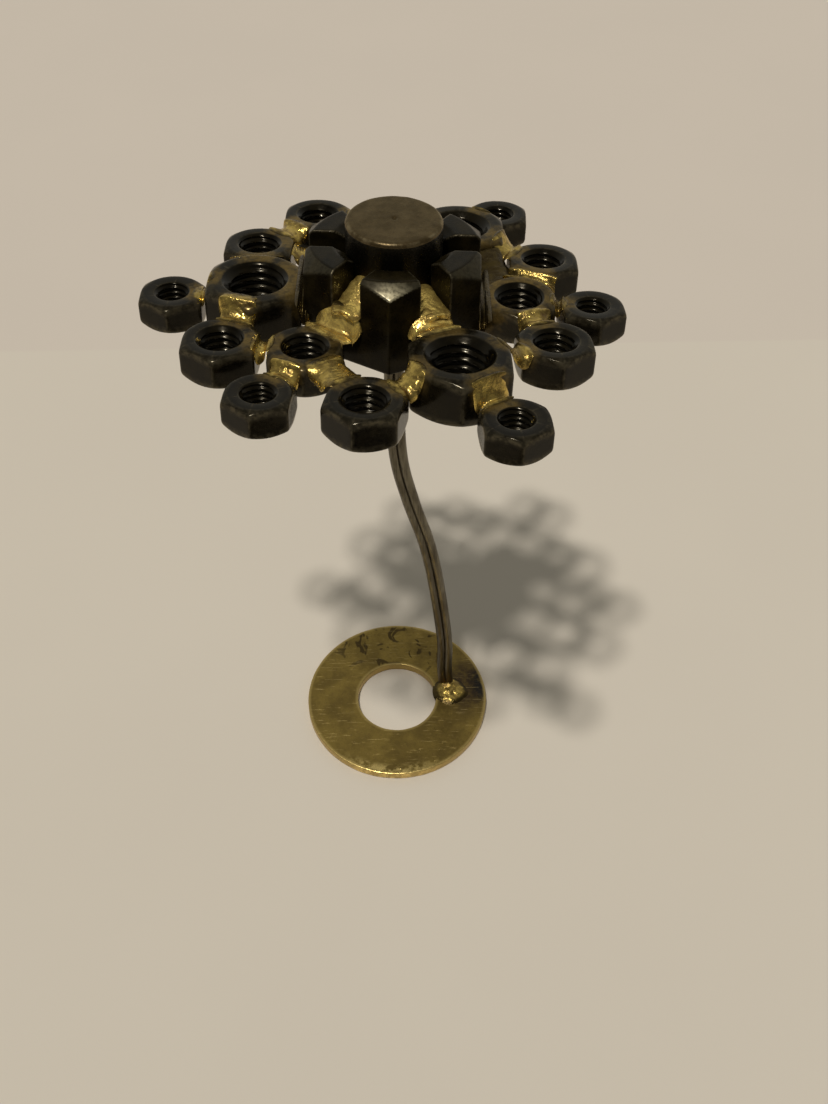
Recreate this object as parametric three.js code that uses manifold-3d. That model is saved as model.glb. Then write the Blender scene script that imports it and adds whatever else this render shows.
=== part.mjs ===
// A small table ornament: a flower of black hex nuts brazed round a slotted nut.
// Two bent steel wires carry the flower, and stand on a flat brass washer.
// Millimetres, +Z up. The washer lies on z = 0, and the front of the flower faces -Y.
import * as THREE from "three";
import { mergeVertices } from "three/addons/utils/BufferGeometryUtils.js";
import Module from "manifold-3d";

const wasm = await Module();
wasm.setup();

// ---- Driving dimensions -------------------------------------------------------------

// The sizes of plain hex nut: width across flats, thickness, thread bore and the
// outer diameter of the countersunk mouth of that bore.
const LARGE = { flats: 13.4, thickness: 7.0, bore: 7.0, mouth: 9.5 };
const WIDE = { flats: 10.1, thickness: 5.0, bore: 5.4, mouth: 7.3 };
const MEDIUM = { flats: 10.1, thickness: 5.0, bore: 5.0, mouth: 6.7 };
const SMALL = { flats: 8.9, thickness: 4.3, bore: 4.0, mouth: 5.1 };
const CHAMFER_ANGLE = 30; // degrees, of the corner chamfers and of the bore mouths
const FACE_SHARE = 0.94; // diameter of a nut's round face over its width across flats

const SLOTTED = { flats: 24, height: 13, bore: 14.4, mouth: 18, faceShare: 0.965, chamfer: 38 };
const SLOT = { width: 4.4, depth: 6 };
const PLUG = { diameter: 13.4, proud: 3.5, edge: 0.7, nod: 3.5 }; // nod in degrees

const WASHER = { outer: 36.4, hole: 16, thickness: 1.8, edge: 0.2 };
const WIRE = { diameter: 1.3, spacing: 1.5 };
const STEM_FOOT = [10.1, 3.3]; // where the pair of wires meets the washer
const HEAD_BASE = [0.5, -2, 101]; // centre of the slotted nut's lower face
const HEAD_LEAN = { back: 8.7, right: 1.2, turn: -1.6 }; // degrees

const GAP = 0.15; // left between a braze bead and the metal that it joins
const ROUND_SIDES = 18; // sides of the round faces and bores of the nuts
const PLUG_SIDES = 32;
const WASHER_SIDES = 48;

// Each nut of the flower, by the direction and distance of its centre from the slotted
// nut's axis, in degrees and millimetres. turn rotates it in the plane of the flower,
// and nod tips it towards the front. 270 degrees is the front of the flower.
const NUTS = [
  { name: "nut_ring_left", size: LARGE, angle: 182, radius: 19.4, turn: -1, nod: 2 },
  { name: "nut_ring_front_left", size: MEDIUM, angle: 233, radius: 18.5, turn: 2, nod: 1 },
  { name: "nut_ring_front_right", size: LARGE, angle: 296.5, radius: 21, turn: 4, nod: 0 },
  { name: "nut_ring_right", size: WIDE, angle: 1.5, radius: 17.8, turn: 2, nod: 3 },
  { name: "nut_ring_back_right", size: LARGE, angle: 62.5, radius: 19.8, turn: -1, nod: 0 },
  { name: "nut_ring_back_left", size: SMALL, angle: 120, radius: 17, turn: 0, nod: 0 },
  { name: "nut_outer_left", size: SMALL, angle: 180.8, radius: 31.4, turn: -1, nod: 1 },
  { name: "nut_outer_left_front", size: MEDIUM, angle: 210.8, radius: 26.4, turn: -3, nod: 0 },
  { name: "nut_outer_front_left", size: SMALL, angle: 237.3, radius: 29.9, turn: -7, nod: 0 },
  { name: "nut_outer_front", size: MEDIUM, angle: 264.6, radius: 26.8, turn: -13, nod: 0 },
  { name: "nut_outer_front_right", size: SMALL, angle: 299.7, radius: 33.3, turn: 9, nod: 0 },
  { name: "nut_outer_right_front", size: MEDIUM, angle: 333, radius: 25, turn: 10, nod: -1 },
  { name: "nut_outer_right", size: SMALL, angle: -1, radius: 28.2, turn: 10, nod: -2 },
  { name: "nut_outer_right_back", size: MEDIUM, angle: 28, radius: 24.6, turn: 4, nod: -2 },
  { name: "nut_outer_back_right", size: SMALL, angle: 60.7, radius: 31.6, turn: 0, nod: 0 },
  { name: "nut_outer_back", size: SMALL, angle: 93, radius: 25.3, turn: 0, nod: 0 },
  { name: "nut_outer_back_left", size: MEDIUM, angle: 118, radius: 27.1, turn: -1, nod: 0 },
  { name: "nut_outer_left_back", size: MEDIUM, angle: 146.6, radius: 24.7, turn: -3, nod: -1 },
];

// The braze beads between two nuts: half width along the joint, and half height.
const NUT_BEADS = [
  { between: ["nut_ring_left", "nut_outer_left"], width: 2.2, height: 1.8 },
  { between: ["nut_ring_left", "nut_outer_left_front"], width: 2.6, height: 2.0 },
  { between: ["nut_ring_left", "nut_outer_left_back"], width: 2.2, height: 1.8 },
  { between: ["nut_ring_front_left", "nut_outer_left_front"], width: 2.4, height: 2.0 },
  { between: ["nut_ring_front_left", "nut_outer_front_left"], width: 2.4, height: 1.9 },
  { between: ["nut_ring_front_left", "nut_outer_front"], width: 2.7, height: 2.0 },
  { between: ["nut_ring_front_right", "nut_outer_front"], width: 2.5, height: 2.0 },
  { between: ["nut_ring_front_right", "nut_outer_front_right"], width: 2.6, height: 1.9 },
  { between: ["nut_ring_front_right", "nut_outer_right_front"], width: 2.4, height: 2.0 },
  { between: ["nut_ring_right", "nut_outer_right_front"], width: 2.3, height: 2.0 },
  { between: ["nut_ring_right", "nut_outer_right"], width: 2.0, height: 1.7 },
  { between: ["nut_ring_right", "nut_outer_right_back"], width: 2.3, height: 1.8 },
  { between: ["nut_ring_back_right", "nut_outer_right_back"], width: 2.2, height: 1.9 },
  { between: ["nut_ring_back_right", "nut_outer_back_right"], width: 2.0, height: 1.7 },
  { between: ["nut_ring_back_right", "nut_outer_back"], width: 2.0, height: 1.8 },
  { between: ["nut_ring_back_left", "nut_outer_back_left"], width: 2.0, height: 1.7 },
  { between: ["nut_outer_back", "nut_outer_back_left"], width: 2.0, height: 1.8 },
  { between: ["nut_outer_back_left", "nut_outer_left_back"], width: 2.6, height: 1.9 },
];

// The braze beads between an inner ring nut and the slotted nut. climb is how far the
// bead's middle lies above half the height of the ring nut.
const HUB_BEADS = [
  { nut: "nut_ring_left", width: 2.6, height: 2.4, climb: 1.0 },
  { nut: "nut_ring_front_left", width: 3.2, height: 2.6, climb: 1.6 },
  { nut: "nut_ring_front_right", width: 3.2, height: 2.6, climb: 1.4 },
  { nut: "nut_ring_right", width: 2.4, height: 2.2, climb: 0.8 },
  { nut: "nut_ring_back_right", width: 2.4, height: 2.2, climb: 0.6 },
  { nut: "nut_ring_back_left", width: 2.2, height: 1.8, climb: 0.4 },
];

// The slots of the slotted nut that braze has run into, by direction and fill depth.
const SLOT_FILLS = [
  { name: "braze_slot_front_left", angle: 240, depth: 3.4 },
  { name: "braze_slot_front_right", angle: 300, depth: 3.0 },
];

const COLOURS = {
  blackSteel: { color: 0x1d1b18, roughness: 0.35, metalness: 0.9 },
  plugSteel: { color: 0x4b4439, roughness: 0.5, metalness: 0.8 },
  braze: { color: 0xa8863a, roughness: 0.35, metalness: 1.0 },
  brass: { color: 0x8f7740, roughness: 0.45, metalness: 1.0 },
  wireSteel: { color: 0x5a5548, roughness: 0.45, metalness: 0.9 },
};

// ---- Solids -------------------------------------------------------------------------

const radians = THREE.MathUtils.degToRad;

// A closed three.js geometry as a manifold solid, placed by a matrix.
function solid(geometry, matrix = new THREE.Matrix4()) {
  const bare = new THREE.BufferGeometry();
  bare.setAttribute("position", geometry.getAttribute("position").clone());
  if (geometry.index) bare.setIndex(geometry.index.clone());
  const merged = mergeVertices(bare.applyMatrix4(matrix), 1e-4);
  const corners = merged.index.array;
  const kept = [];
  for (let i = 0; i < corners.length; i += 3) {
    const [a, b, c] = [corners[i], corners[i + 1], corners[i + 2]];
    if (a !== b && b !== c && c !== a) kept.push(a, b, c);
  }
  return new wasm.Manifold(
    new wasm.Mesh({
      numProp: 3,
      vertProperties: new Float32Array(merged.getAttribute("position").array),
      triVerts: new Uint32Array(kept),
    }),
  );
}

// A manifold solid as a three.js geometry.
function geometryOf(body) {
  const mesh = body.getMesh();
  const geometry = new THREE.BufferGeometry();
  geometry.setAttribute("position", new THREE.BufferAttribute(mesh.vertProperties, 3));
  geometry.setIndex(new THREE.BufferAttribute(mesh.triVerts, 1));
  geometry.computeVertexNormals();
  return geometry;
}

// A body of revolution about +Z from (radius, height) pairs, listed from the bottom up.
function turned(profile, sides = ROUND_SIDES) {
  const points = profile.map(([radius, height]) => new THREE.Vector2(radius, height));
  return new THREE.LatheGeometry(points, sides).rotateX(Math.PI / 2);
}

// A hexagonal prism that stands on z = 0 with a corner towards -Y.
function hexPrism(flats, height) {
  const corner = flats / Math.sqrt(3);
  const prism = new THREE.CylinderGeometry(corner, corner, height, 6);
  return prism.rotateX(Math.PI / 2).translate(0, 0, height / 2);
}

// The cone-ended envelope that rounds a hexagon's corners off towards its faces.
function chamferEnvelope(flats, height, faceShare, lowerToo, angle = CHAMFER_ANGLE) {
  const face = (flats / 2) * faceShare;
  const outer = flats / Math.sqrt(3) + 0.5;
  const rise = (outer - face) * Math.tan(radians(angle));
  const bottom = lowerToo ? [[0, 0], [face, 0], [outer, rise]] : [[0, 0], [outer, 0]];
  return turned([...bottom, [outer, height - rise], [face, height], [0, height]]);
}

// A through bore with a countersunk mouth at each end.
function boreCutter(bore, mouth, height) {
  const slope = Math.tan(radians(CHAMFER_ANGLE));
  const over = 1;
  const wide = mouth / 2 + over / slope;
  const depth = ((mouth - bore) / 2) * slope;
  return turned([
    [0, -over],
    [wide, -over],
    [bore / 2, depth],
    [bore / 2, height - depth],
    [wide, height + over],
    [0, height + over],
  ]);
}

function plainNut({ flats, thickness, bore, mouth }) {
  return solid(hexPrism(flats, thickness))
    .intersect(solid(chamferEnvelope(flats, thickness, FACE_SHARE, true)))
    .subtract(solid(boreCutter(bore, mouth, thickness)));
}

// The central nut, with a slot across its upper end at the middle of each flat.
function slottedNut() {
  const { flats, height, bore, mouth, faceShare, chamfer } = SLOTTED;
  let body = solid(hexPrism(flats, height))
    .intersect(solid(chamferEnvelope(flats, height, faceShare, false, chamfer)))
    .subtract(solid(boreCutter(bore, mouth, height)));
  for (const angle of [0, 60, 120]) {
    const slot = new THREE.BoxGeometry(flats * 1.5, SLOT.width, SLOT.depth * 2);
    slot.translate(0, 0, height).rotateZ(radians(angle));
    body = body.subtract(solid(slot));
  }
  return body;
}

// The steel plug in the slotted nut's bore, with a rounded upper edge. It sits a little
// askew, tipped towards the front about the middle of the nut's height.
function centrePlug() {
  const radius = PLUG.diameter / 2;
  const top = SLOTTED.height + PLUG.proud;
  const profile = [[0, 0], [radius, 0]];
  for (const angle of [0, 30, 60, 90]) {
    const turn = radians(angle);
    profile.push([
      radius - PLUG.edge * (1 - Math.cos(turn)),
      top - PLUG.edge * (1 - Math.sin(turn)),
    ]);
  }
  const pivot = SLOTTED.height / 2;
  const plug = turned([...profile, [0, top]], PLUG_SIDES).translate(0, 0, -pivot);
  return solid(plug.rotateX(radians(PLUG.nod)).translate(0, 0, pivot));
}

// The base washer, with its edges just broken.
function baseWasher() {
  const { outer, hole, thickness, edge } = WASHER;
  const ring = [
    [hole / 2 + edge, 0],
    [outer / 2 - edge, 0],
    [outer / 2, edge],
    [outer / 2, thickness - edge],
    [outer / 2 - edge, thickness],
    [hole / 2 + edge, thickness],
    [hole / 2, thickness - edge],
    [hole / 2, edge],
    [hole / 2 + edge, 0],
  ];
  return solid(turned(ring, WASHER_SIDES));
}

// The pair's centre line, from the washer up to the slotted nut, in an easy S bend.
function stemRoute(lift) {
  return new THREE.CatmullRomCurve3([
    new THREE.Vector3(STEM_FOOT[0], STEM_FOOT[1], WASHER.thickness + lift),
    new THREE.Vector3(9.7, 3.1, 8),
    new THREE.Vector3(9.5, 2.7, 18),
    new THREE.Vector3(7.9, 1.9, 34),
    new THREE.Vector3(5.9, 1.1, 48),
    new THREE.Vector3(2.9, 0.3, 61),
    new THREE.Vector3(1.0, -0.4, 72),
    new THREE.Vector3(0.5, -1.2, 86),
    new THREE.Vector3(HEAD_BASE[0], HEAD_BASE[1], HEAD_BASE[2] - lift),
  ]);
}

// One wire of the pair, beside its centre line, with a round section of that diameter.
function stemWire(side, diameter, lift) {
  const offset = (side * WIRE.spacing) / 2;
  const route = stemRoute(lift);
  for (const point of route.points) point.x += offset;
  const section = new THREE.Shape().absarc(0, 0, diameter / 2, 0, Math.PI * 2);
  const sweep = { extrudePath: route, steps: 26, curveSegments: 4, bevelEnabled: false };
  return solid(new THREE.ExtrudeGeometry(section, sweep));
}

// ---- Placing ------------------------------------------------------------------------

// A nut's place in the head's frame, whose origin is the slotted nut's lower face.
function nutMatrix({ size, angle, radius, turn, nod }) {
  const across = radians(angle);
  const middle = new THREE.Vector3(
    radius * Math.cos(across),
    radius * Math.sin(across),
    size.thickness / 2,
  );
  const spin = new THREE.Euler(radians(nod), 0, radians(turn));
  return new THREE.Matrix4()
    .makeTranslation(middle)
    .multiply(new THREE.Matrix4().makeRotationFromEuler(spin))
    .multiply(new THREE.Matrix4().makeTranslation(0, 0, -size.thickness / 2));
}

const nutNamed = (name) => NUTS.find((nut) => nut.name === name);

// Every nut of the head grown by the gap, which the beads are cut back to.
function keepClear() {
  const grown = NUTS.map((nut) => {
    const { flats, thickness } = nut.size;
    const block = hexPrism(flats + 2 * GAP, thickness + 2 * GAP).translate(0, 0, -GAP);
    return solid(block, nutMatrix(nut));
  });
  const { flats, height } = SLOTTED;
  grown.push(solid(hexPrism(flats + 2 * GAP, height + 2 * GAP).translate(0, 0, -GAP)));
  return grown;
}

// An egg-shaped lump of braze centred between two points of the head, cut back to the nuts.
function bead(from, to, reach, width, height, blockers) {
  const lump = new THREE.SphereGeometry(1, 10, 7).scale(reach, width, height);
  const along = Math.atan2(to.y - from.y, to.x - from.x);
  const place = new THREE.Matrix4()
    .makeTranslation(from.clone().add(to).multiplyScalar(0.5))
    .multiply(new THREE.Matrix4().makeRotationZ(along));
  return blockers.reduce((body, blocker) => body.subtract(blocker), solid(lump, place));
}

// The two facing sides of a joint: points on the line of centres at each nut's flat.
function facingPoints(a, b) {
  const centre = ({ angle, radius, size }) =>
    new THREE.Vector3(
      radius * Math.cos(radians(angle)),
      radius * Math.sin(radians(angle)),
      size.thickness / 2,
    );
  const [pa, pb] = [centre(a), centre(b)];
  const direction = pb.clone().sub(pa).setZ(0).normalize();
  return [
    pa.addScaledVector(direction, a.size.flats / 2),
    pb.addScaledVector(direction, -b.size.flats / 2),
  ];
}

const BEAD_REACH = 1.3; // how far a bead reaches past each side of its gap

function nutBead({ between, width, height }, blockers) {
  const [from, to] = facingPoints(...between.map(nutNamed));
  const middle = Math.min(from.z, to.z) + 0.6;
  from.z = middle;
  to.z = middle;
  const reach = from.distanceTo(to) / 2 + BEAD_REACH;
  return bead(from, to, reach, width, height, blockers);
}

function hubBead({ nut, width, height, climb }, blockers) {
  const ringNut = nutNamed(nut);
  const direction = new THREE.Vector3(1, 0, 0).applyAxisAngle(
    new THREE.Vector3(0, 0, 1),
    radians(ringNut.angle),
  );
  const middle = ringNut.size.thickness / 2 + climb;
  const from = direction.clone().multiplyScalar(SLOTTED.flats / 2).setZ(middle);
  const to = direction
    .clone()
    .multiplyScalar(ringNut.radius - ringNut.size.flats / 2)
    .setZ(middle);
  const reach = from.distanceTo(to) / 2 + BEAD_REACH;
  return bead(from, to, reach, width, height, blockers);
}

// Braze that has run into a slot: a bar on the slot's floor with a sloping outer end.
function slotFill({ angle, depth }) {
  const clear = 2 * GAP;
  const inner = SLOTTED.bore / 2 + clear;
  const outer = SLOTTED.flats / 2 - clear;
  const floor = SLOTTED.height - SLOT.depth + clear;
  const side = new THREE.Shape([
    new THREE.Vector2(inner, floor),
    new THREE.Vector2(outer, floor),
    new THREE.Vector2(outer, floor + depth * 0.6),
    new THREE.Vector2(inner + 1.2, floor + depth),
    new THREE.Vector2(inner, floor + depth),
  ]);
  const width = SLOT.width - 2 * clear;
  const bar = new THREE.ExtrudeGeometry(side, { depth: width, bevelEnabled: false });
  bar.translate(0, 0, -width / 2).rotateX(Math.PI / 2).rotateZ(radians(angle));
  return solid(bar);
}

// The braze cone round the wires, at the washer and under the slotted nut.
function wireCollar(profile, centre) {
  const collar = solid(turned(profile, 20).translate(...centre));
  const cutDiameter = WIRE.diameter + 2 * GAP;
  return collar
    .subtract(stemWire(-1, cutDiameter, -1))
    .subtract(stemWire(1, cutDiameter, -1));
}

// ---- Assembly -----------------------------------------------------------------------

function named(name, body, look) {
  const mesh = new THREE.Mesh(geometryOf(body), new THREE.MeshStandardMaterial(look));
  mesh.name = name;
  return mesh;
}

function buildHead() {
  const head = new THREE.Group();
  head.position.set(...HEAD_BASE);
  head.rotation.set(
    radians(-HEAD_LEAN.back),
    radians(HEAD_LEAN.right),
    radians(HEAD_LEAN.turn),
  );
  head.add(named("slotted_nut", slottedNut(), COLOURS.blackSteel));
  head.add(named("centre_plug", centrePlug(), COLOURS.plugSteel));
  for (const nut of NUTS) {
    const mesh = named(nut.name, plainNut(nut.size), COLOURS.blackSteel);
    mesh.applyMatrix4(nutMatrix(nut));
    head.add(mesh);
  }
  const blockers = keepClear();
  for (const joint of NUT_BEADS) {
    const short = joint.between.map((name) => name.replace("nut_", ""));
    const body = nutBead(joint, blockers);
    head.add(named(`braze_${short.join("_to_")}`, body, COLOURS.braze));
  }
  for (const joint of HUB_BEADS) {
    const body = hubBead(joint, blockers);
    head.add(named(`braze_hub_to_${joint.nut.replace("nut_", "")}`, body, COLOURS.braze));
  }
  for (const fill of SLOT_FILLS) head.add(named(fill.name, slotFill(fill), COLOURS.braze));
  return head;
}

function buildStand() {
  const stand = new THREE.Group();
  stand.add(named("base_washer", baseWasher(), COLOURS.brass));
  const lift = 0.3;
  stand.add(named("stem_wire_left", stemWire(-1, WIRE.diameter, lift), COLOURS.wireSteel));
  stand.add(named("stem_wire_right", stemWire(1, WIRE.diameter, lift), COLOURS.wireSteel));
  const foot = [[0, 0], [3.7, 0], [3.4, 0.5], [2.4, 1.2], [1.4, 2.0], [0, 2.2]];
  const footPlace = [STEM_FOOT[0] + 0.9, STEM_FOOT[1] - 1.9, WASHER.thickness + lift];
  stand.add(named("braze_stem_foot", wireCollar(foot, footPlace), COLOURS.braze));
  const top = [[0, -3.4], [1.6, -3.2], [2.0, -1.6], [3.4, -0.5], [3.6, 0], [0, 0]];
  const topPlace = [HEAD_BASE[0], HEAD_BASE[1], HEAD_BASE[2] - lift - 0.6];
  stand.add(named("braze_stem_top", wireCollar(top, topPlace), COLOURS.braze));
  return stand;
}

const flower = new THREE.Group();
flower.add(buildHead(), buildStand());

// The part's origin is the middle of the bottom of its bounding box.
const bounds = new THREE.Box3().setFromObject(flower, true);
const middle = bounds.getCenter(new THREE.Vector3());
flower.position.set(-middle.x, -middle.y, -bounds.min.z);

const part = new THREE.Group();
part.add(flower);
export default part;
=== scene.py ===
import math

import bpy
import numpy as np
from mathutils import Matrix, Vector, noise


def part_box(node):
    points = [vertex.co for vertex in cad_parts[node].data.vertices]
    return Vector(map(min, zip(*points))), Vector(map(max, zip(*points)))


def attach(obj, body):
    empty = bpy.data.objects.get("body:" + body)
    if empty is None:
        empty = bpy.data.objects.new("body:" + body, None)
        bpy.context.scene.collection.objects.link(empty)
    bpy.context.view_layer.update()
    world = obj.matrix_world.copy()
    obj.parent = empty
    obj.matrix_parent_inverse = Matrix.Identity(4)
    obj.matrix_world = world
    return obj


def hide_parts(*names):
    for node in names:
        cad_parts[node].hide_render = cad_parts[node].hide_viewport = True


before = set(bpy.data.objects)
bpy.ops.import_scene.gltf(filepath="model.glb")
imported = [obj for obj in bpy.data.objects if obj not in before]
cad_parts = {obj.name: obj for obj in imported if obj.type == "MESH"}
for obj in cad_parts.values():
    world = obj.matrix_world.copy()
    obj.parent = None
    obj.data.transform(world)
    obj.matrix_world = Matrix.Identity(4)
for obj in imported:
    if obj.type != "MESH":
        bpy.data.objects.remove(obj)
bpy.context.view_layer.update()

MM = 0.001
SLOPE = math.tan(math.radians(30))  # of the corner chamfers and of the bore mouths
FACE_SHARE = 0.94  # diameter of a nut's round face over its width across flats

# The sizes of plain nut, in millimetres, with the pitch of their threads.
SIZES = {
    "large": {"flats": 13.4, "thick": 7.0, "bore": 7.0, "mouth": 9.5, "pitch": 1.25},
    "wide": {"flats": 10.1, "thick": 5.0, "bore": 5.4, "mouth": 7.3, "pitch": 1.0},
    "medium": {"flats": 10.1, "thick": 5.0, "bore": 5.0, "mouth": 6.7, "pitch": 1.0},
    "small": {"flats": 8.9, "thick": 4.3, "bore": 4.0, "mouth": 5.1, "pitch": 0.8},
}
NUT_SIZES = {
    "nut_ring_left": "large",
    "nut_ring_front_left": "medium",
    "nut_ring_front_right": "large",
    "nut_ring_right": "wide",
    "nut_ring_back_right": "large",
    "nut_ring_back_left": "small",
    "nut_outer_left": "small",
    "nut_outer_left_front": "medium",
    "nut_outer_front_left": "small",
    "nut_outer_front": "medium",
    "nut_outer_front_right": "small",
    "nut_outer_right_front": "medium",
    "nut_outer_right": "small",
    "nut_outer_right_back": "medium",
    "nut_outer_back_right": "small",
    "nut_outer_back": "small",
    "nut_outer_back_left": "medium",
    "nut_outer_left_back": "medium",
}
CASTLE = {
    "flats": 24.0, "height": 13.0, "bore": 13.8,
    "mouth": 18.0, "upper_mouth": 0.96,  # the upper mouth is this share of the lower one
    "share": 0.965,  # diameter of the upper face over the width across flats
    "slope": 0.78,  # of the upper chamfer
}
SLOT = {"width": 4.4, "depth": 6.0}
PLUG = {"radius": 6.7, "height": 16.5, "edge": 0.7}
WASHER = {"outer": 18.2, "hole": 8.0, "thick": 1.8, "edge": 0.22}
WIRE = {"radius": 0.80, "spacing": 1.42, "sides": 20}

# The wires' centre line from the washer to the slotted nut, from the washer's centre.
STEM = [
    (10.1, 3.3, 1.7), (9.7, 3.1, 8), (9.5, 2.7, 18), (7.9, 1.9, 34), (5.9, 1.1, 48),
    (2.9, 0.3, 61), (1.0, -0.4, 72), (0.5, -1.2, 86), (0.5, -2, 101.2),
]
STEM_STEPS = 18  # points of the route from one point of the list to the next

# The mounds of braze at the stem's two ends: where, how wide and high, and how much
# higher they climb along the wires, which leave each mound this far to either side.
FOOT = {"place": (11.0, 1.4, 1.8), "radius": 3.7, "height": 1.1, "climb": 0.5}
NECK = {"place": (0.5, -2.0, 100.9), "radius": 3.6, "height": 1.2, "climb": 1.8}
WIRE_ASIDE = 0.75

# Braze between two nuts: half width, how far it dips between them, how far it spreads
# over each nut's upper face, and how deep it hangs, in millimetres.
JOINTS = [
    ("ring_left", "outer_left", 1.9, 0.7, 1.0, 1.5, 3.2),
    ("ring_left", "outer_left_front", 2.9, 0.5, 1.9, 1.0, 4.2),
    ("ring_left", "outer_left_back", 4.5, 1.0, 0.6, 0.8, 3.6),
    ("ring_front_left", "outer_left_front", 2.2, 0.8, 0.9, 0.8, 4.0),
    ("ring_front_left", "outer_front_left", 2.4, 0.9, 0.9, 0.7, 3.8),
    ("ring_front_left", "outer_front", 3.0, 0.3, 1.3, 0.9, 3.8),
    ("ring_front_right", "outer_front", 2.4, 0.5, 1.2, 1.2, 4.0),
    ("ring_front_right", "outer_front_right", 2.9, 0.8, 0.9, 0.8, 4.4),
    ("ring_front_right", "outer_right_front", 2.2, 0.9, 0.7, 1.1, 4.2),
    ("ring_right", "outer_right_front", 2.5, 0.6, 1.2, 0.8, 3.8),
    ("ring_right", "outer_right", 1.9, 0.7, 0.8, 1.0, 3.0),
    ("ring_right", "outer_right_back", 3.9, 0.7, 0.8, 0.9, 3.8),
    ("ring_back_right", "outer_right_back", 2.6, 0.7, 0.7, 1.2, 4.0),
    ("ring_back_right", "outer_back_right", 1.9, 0.7, 0.9, 0.8, 3.2),
    ("ring_back_right", "outer_back", 1.9, 0.8, 0.8, 0.8, 3.2),
    ("ring_back_left", "outer_back_left", 1.9, 0.7, 0.8, 0.8, 3.0),
    ("outer_back", "outer_back_left", 1.8, 0.7, 0.7, 0.8, 3.0),
    ("outer_back_left", "outer_left_back", 2.6, 0.6, 1.2, 1.2, 3.6),
]

# More of it that fills wider gaps, with the seed of its ripples and how far it lies
# below the nuts' upper faces.
LOW_WEBS = [
    ("ring_left", "ring_back_left", 3.4, 0.6, 0.4, 0.4, 3.2, 51.0, 1.3),
    ("ring_back_left", "outer_left_back", 2.8, 0.6, 0.4, 0.8, 3.2, 63.0, 0.7),
    ("ring_right", "ring_back_right", 4.2, 0.6, 0.4, 0.4, 3.4, 57.0, 1.0),
]

# Braze between a ring nut and the slotted nut: half width, how high it climbs the
# slotted nut's side, how far it spreads over the ring nut, and where its underside is.
# Both heights are above the slotted nut's lower face.
HUB_JOINTS = [
    ("ring_left", 7.9, 7.4, 0.9, -0.3),
    ("ring_front_left", 4.1, 8.6, 1.8, 0.8),
    ("ring_front_right", 3.5, 8.3, 1.2, 2.2),
    ("ring_right", 8.4, 6.2, 1.0, -0.6),
    ("ring_back_right", 6.4, 7.0, 0.9, 0.0),
    ("ring_back_left", 2.0, 5.8, 0.9, 1.2),
]

# Brazes painted darker, towards near black, by their names after "braze_", and how dark: partly brown
# tarnish, partly painted shade on the low webs and the pieces against the slotted nut's sides and
# back.
BROWN_AND_PAINTED_SHADE = {
    "ring_left_to_outer_left": 0.5,
    "ring_left_to_outer_left_front": 0.25,
    "ring_left_to_outer_left_back": 0.6,
    "ring_right_to_outer_right": 0.6,
    "ring_right_to_outer_right_front": 0.3,
    "ring_right_to_outer_right_back": 0.5,
    "ring_front_right_to_outer_right_front": 0.4,
    "ring_back_right_to_outer_right_back": 0.4,
    "ring_back_right_to_outer_back_right": 0.5,
    "ring_back_right_to_outer_back": 0.5,
    "outer_back_left_to_outer_left_back": 0.25,
    "hub_to_ring_left": 1.2,
    "hub_to_ring_right": 1.2,
    "hub_to_ring_back_right": 1.4,
    "hub_to_ring_back_left": 0.5,
    "web_ring_left_to_ring_back_left": 1.4,
    "web_ring_back_left_to_outer_left_back": 0.3,
    "web_ring_right_to_ring_back_right": 1.4,
}

# Braze in two of the slots: which way it runs in degrees, and how deep it is against
# the plug and at the outside.
SLOT_FILLS = [
    ("braze_slot_front_left", 240, 3.6, 1.3),
    ("braze_slot_front_right", 300, 2.5, 1.2),
]

# The number of steps along each kind of braze, and the steps that leave a film nearby.
NUT_STEPS, NUT_GLOWS = 26, (6, 13, 20)
HUB_STEPS, HUB_GLOWS = 22, (4, 10, 16)
FILL_STEPS, FILL_GLOWS = 24, (6, 12, 20)
OVER_FACE = 0.9  # thickness of braze where it lies over a nut's face
FLOW_WAVES = 5  # flow marks along a braze

# How far the brass film reaches from the braze, and how strong it is.
NUT_FILM = (1.7, 0.85)
CASTLE_FILM = (0.8, 0.22)
PLUG_FILM = (0.8, 0.2)

# Marks on the washer, from its centre: middle and half size.
BURN = ((14.4, 2.9), (5.2, 6.6))
SOOT = ((17.2, 3.2), (2.0, 5.0))

NUT_STEEL = {
    "dark": (0.0018, 0.0014, 0.0008), "light": (0.0070, 0.0052, 0.0022),
    "smooth": 0.13, "satin": 0.23, "shine": 0.06, "ior": 1.24,
}
CASTLE_STEEL = {
    "dark": (0.0035, 0.0026, 0.0010), "light": (0.013, 0.0095, 0.0034),
    "smooth": 0.25, "satin": 0.36, "shine": 0.03, "ior": 1.19,
}

# The stage, in millimetres from the washer's centre.
GROUND = 3000.0  # half the floor's width
FLOOR_LINE = 112  # where the floor turns a shade greyer
KEY = {"towards": (-0.155, -0.267, 0.949), "apart": (0.027, -0.014), "energy": 1.02, "angle": 3.0}
# Painted shade: a black card, seen only in reflections, standing for the shadow on the floor in front
# of the object.
PAINTED_SHADE_CARD = {"half": 95, "far": -92, "near": -330, "up": 0.6}
CAMERA = {"place": (3.5, -143.6, 217), "tilt": 40.3, "lens": 40.76, "sensor": 36}


# ---- Meshes ---------------------------------------------------------------------------

def eased(share):
    return share * share * (3 - 2 * share)


def smoothstep(low, high, value):
    return eased(np.clip((value - low) / (high - low), 0.0, 1.0))


def ripple(point, scale, seed=0.0):
    """Smooth noise between about -1 and 1 at a point in millimetres."""
    return noise.noise(Vector(point) * scale + Vector((seed, 1.7 * seed, -seed)))


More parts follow.
